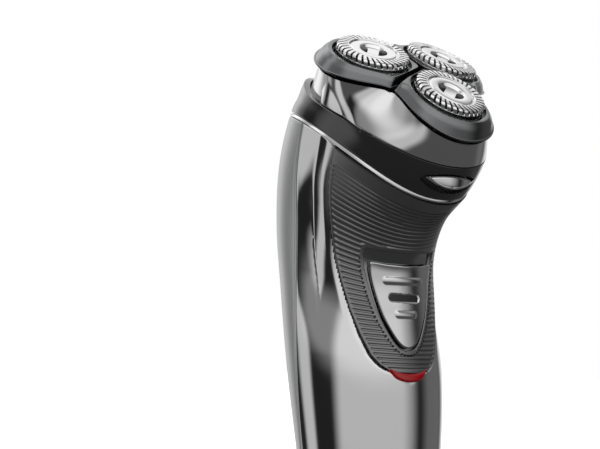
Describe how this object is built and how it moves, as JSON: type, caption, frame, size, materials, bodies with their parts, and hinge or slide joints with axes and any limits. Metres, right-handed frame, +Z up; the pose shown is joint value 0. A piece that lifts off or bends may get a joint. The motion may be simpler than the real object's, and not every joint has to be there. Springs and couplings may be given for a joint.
{
  "type": "electric shaver",
  "caption": "Cordless rotary shaver with a tilted head of round slotted combs on floating petals, a rubber grip, a sliding switch and a flip-open hair chamber.",
  "frame": {"origin": "mouth of the charging inlet, at the centre of the flat base", "axes": "+Z up the handle, -Y towards the front where the switch and the shaving head face, +X to the right seen from behind the front"},
  "size_m": [0.0584, 0.0759, 0.1611],
  "materials": {
    "cover_grey": "satin",
    "shell_silver": "gloss silver lacquer",
    "dark_plastic": "fine matt",
    "gloss_black": "high gloss",
    "rim_grey": "gloss",
    "grip_rubber": "matt, ribbed",
    "slider_silver": "satin",
    "lens_red": "clear red",
    "frame_plastic": "matt",
    "spring_steel": "bright wire",
    "head_gunmetal": "gloss metallic",
    "pin_steel": "turned",
    "lock_grey": "matt",
    "pinion_brass": "satin",
    "motor_steel": "drawn steel",
    "cell_sleeve": "shrink sleeve",
    "tab_nickel": "nickel",
    "board_green": "solder mask",
    "led_epoxy": "clear epoxy",
    "petal_gunmetal": "satin",
    "comb_steel": "polished",
    "cutter_steel": "ground",
    "gear_acetal": "matt"
  },
  "bodies": {
    "handle": {"rear_cover": "cover_grey", "front_shell": "shell_silver", "base_cap": "dark_plastic", "collar_band": "gloss_black", "collar_rim": "rim_grey", "grip_panel": "grip_rubber", "switch_track": "dark_plastic", "status_lens": "lens_red", "button_springs": "spring_steel", "hinge_pin": "pin_steel", "drive_deck": "dark_plastic", "deck_screws": "pin_steel", "gear_plate": "frame_plastic", "gear_axles": "pin_steel", "motor_can": "motor_steel", "inner_frame": "frame_plastic", "cell_left": "cell_sleeve", "cell_right": "cell_sleeve", "cell_tabs": "tab_nickel", "circuit_board": "board_green", "switch_block": "dark_plastic", "status_led": "led_epoxy", "charge_socket": "dark_plastic"},
    "switch": {"power_slider": "slider_silver"},
    "button": {"release_button": "gloss_black", "latch_hook": "frame_plastic"},
    "head": {"head_housing": "head_gunmetal", "head_frame": "frame_plastic", "latch_catch": "frame_plastic", "petal_pins": "pin_steel", "retaining_plate": "frame_plastic"},
    "lock": {"lock_wheel": "lock_grey"},
    "rotor": {"motor_pinion": "pinion_brass"},
    "petal_front": {"petal_front": "petal_gunmetal"},
    "comb_front": {"comb_front": "comb_steel"},
    "cutter_front": {"cutter_front": "cutter_steel"},
    "gear_front": {"drive_gear_front": "gear_acetal", "spindle_spring_front": "spring_steel"},
    "spindle_front": {"spindle_front": "gear_acetal"},
    "petal_right": {"petal_right": "petal_gunmetal"},
    "comb_right": {"comb_right": "comb_steel"},
    "cutter_right": {"cutter_right": "cutter_steel"},
    "gear_right": {"drive_gear_right": "gear_acetal", "spindle_spring_right": "spring_steel"},
    "spindle_right": {"spindle_right": "gear_acetal"},
    "petal_left": {"petal_left": "petal_gunmetal"},
    "comb_left": {"comb_left": "comb_steel"},
    "cutter_left": {"cutter_left": "cutter_steel"},
    "gear_left": {"drive_gear_left": "gear_acetal", "spindle_spring_left": "spring_steel"},
    "spindle_left": {"spindle_left": "gear_acetal"}
  },
  "joints": [
    {"name": "head_open", "type": "hinge", "parent": "handle", "child": "head", "pos_m": [0, 0.0277, 0.1473], "axis": [-1, 0, 0], "range_deg": [0, 85]},
    {"name": "button_press", "type": "slide", "parent": "handle", "child": "button", "axis": [0, 1, 0], "range_m": [0, 0.0012], "stiffness_N_per_m": 1500, "springref_m": -0.0005, "deforming": ["button_springs"]},
    {"name": "switch_slide", "type": "slide", "parent": "handle", "child": "switch", "axis": [0, -0.0698, 0.9976], "range_m": [0, 0.002]},
    {"name": "lock_turn", "type": "hinge", "parent": "head", "child": "lock", "pos_m": [0, -0.008, 0.13988], "axis": [0, -0.5, 0.866], "range_deg": [0, 60]},
    {"name": "motor_spin", "type": "hinge", "parent": "handle", "child": "rotor", "pos_m": [0, -0.0015, 0.12862], "axis": [0, -0.5, 0.866], "continuous": true},
    {"name": "petal_front_float", "type": "hinge", "parent": "head", "child": "petal_front", "pos_m": [0, -0.03558, 0.13204], "axis": [-1, 0, 0], "range_deg": [0, 2], "stiffness_Nm_per_rad": 0.2, "springref_deg": -2.86},
    {"name": "comb_front_sink", "type": "slide", "parent": "petal_front", "child": "comb_front", "axis": [0, -0.592, 0.8059], "range_m": [-0.0008, 0], "stiffness_N_per_m": 400, "springref_m": 0.0005},
    {"name": "cutter_front_spin", "type": "hinge", "parent": "comb_front", "child": "cutter_front", "pos_m": [0, -0.02733, 0.14294], "axis": [0, -0.592, 0.8059], "continuous": true},
    {"name": "gear_front_spin", "type": "hinge", "parent": "handle", "child": "gear_front", "pos_m": [0, -0.02286, 0.13592], "axis": [0, -0.5, 0.866], "continuous": true},
    {"name": "spindle_front_sink", "type": "slide", "parent": "gear_front", "child": "spindle_front", "axis": [0, -0.5, 0.866], "range_m": [-0.0012, 0], "stiffness_N_per_m": 300, "springref_m": 0.0005, "deforming": ["spindle_spring_front"]},
    {"name": "petal_right_float", "type": "hinge", "parent": "head", "child": "petal_right", "pos_m": [0.02407, 0.00054, 0.15289], "axis": [0.5, -0.75, -0.433], "range_deg": [0, 2], "stiffness_Nm_per_rad": 0.2, "springref_deg": -2.86},
    {"name": "comb_right_sink", "type": "slide", "parent": "petal_right", "child": "comb_right", "axis": [0.095, -0.4495, 0.8882], "range_m": [-0.0008, 0], "stiffness_N_per_m": 400, "springref_m": 0.0005},
    {"name": "cutter_right_spin", "type": "hinge", "parent": "comb_right", "child": "cutter_right", "pos_m": [0.01317, -0.00758, 0.15435], "axis": [0.095, -0.4495, 0.8882], "continuous": true},
    {"name": "gear_right_spin", "type": "hinge", "parent": "handle", "child": "gear_right", "pos_m": [0.01286, -0.00357, 0.14705], "axis": [0, -0.5, 0.866], "continuous": true},
    {"name": "spindle_right_sink", "type": "slide", "parent": "gear_right", "child": "spindle_right", "axis": [0, -0.5, 0.866], "range_m": [-0.0012, 0], "stiffness_N_per_m": 300, "springref_m": 0.0005, "deforming": ["spindle_spring_right"]},
    {"name": "petal_left_float", "type": "hinge", "parent": "head", "child": "petal_left", "pos_m": [-0.02407, 0.00054, 0.15289], "axis": [0.5, 0.75, 0.433], "range_deg": [0, 2], "stiffness_Nm_per_rad": 0.2, "springref_deg": -2.86},
    {"name": "comb_left_sink", "type": "slide", "parent": "petal_left", "child": "comb_left", "axis": [-0.095, -0.4495, 0.8882], "range_m": [-0.0008, 0], "stiffness_N_per_m": 400, "springref_m": 0.0005},
    {"name": "cutter_left_spin", "type": "hinge", "parent": "comb_left", "child": "cutter_left", "pos_m": [-0.01317, -0.00758, 0.15435], "axis": [-0.095, -0.4495, 0.8882], "continuous": true},
    {"name": "gear_left_spin", "type": "hinge", "parent": "handle", "child": "gear_left", "pos_m": [-0.01286, -0.00357, 0.14705], "axis": [0, -0.5, 0.866], "continuous": true},
    {"name": "spindle_left_sink", "type": "slide", "parent": "gear_left", "child": "spindle_left", "axis": [0, -0.5, 0.866], "range_m": [-0.0012, 0], "stiffness_N_per_m": 300, "springref_m": 0.0005, "deforming": ["spindle_spring_left"]}
  ],
  "couplings": [
    {"joint": "gear_front_spin", "follows": "motor_spin", "ratio": -0.83333},
    {"joint": "cutter_front_spin", "follows": "motor_spin", "ratio": -0.83333},
    {"joint": "gear_right_spin", "follows": "motor_spin", "ratio": -0.83333},
    {"joint": "cutter_right_spin", "follows": "motor_spin", "ratio": -0.83333},
    {"joint": "gear_left_spin", "follows": "motor_spin", "ratio": -0.83333},
    {"joint": "cutter_left_spin", "follows": "motor_spin", "ratio": -0.83333}
  ]
}
